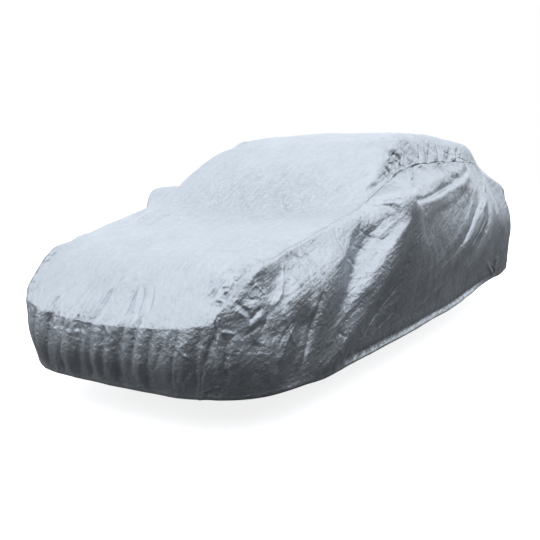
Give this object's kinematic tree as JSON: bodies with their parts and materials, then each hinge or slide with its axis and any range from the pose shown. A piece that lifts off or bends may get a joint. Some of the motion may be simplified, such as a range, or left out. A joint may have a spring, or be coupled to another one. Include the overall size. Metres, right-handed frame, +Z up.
{
  "type": "fitted car cover",
  "caption": "Fitted cover of silver-coated cloth for a saloon car: a hollow shell, open underneath, with an elastic hem, sewn shoulder seams and draped folds",
  "frame": {"origin": "under the roof of the cover, on its centre line, where the roof of the car carries the cloth; the ground that the car stands on is 1.477 m below", "axes": "+X to the car's left, +Y from nose to tail, +Z up"},
  "size_m": [2.006, 4.6604, 1.2876],
  "materials": {
    "centre_cloth": "silver-coated woven cloth, semi-gloss, finely crinkled",
    "left_cloth": "silver-coated woven cloth, semi-gloss, finely crinkled",
    "right_cloth": "silver-coated woven cloth, semi-gloss, finely crinkled"
  },
  "bodies": {
    "root": {"centre_panel": "centre_cloth", "left_side_panel": "left_cloth", "right_side_panel": "right_cloth"}
  },
  "joints": []
}
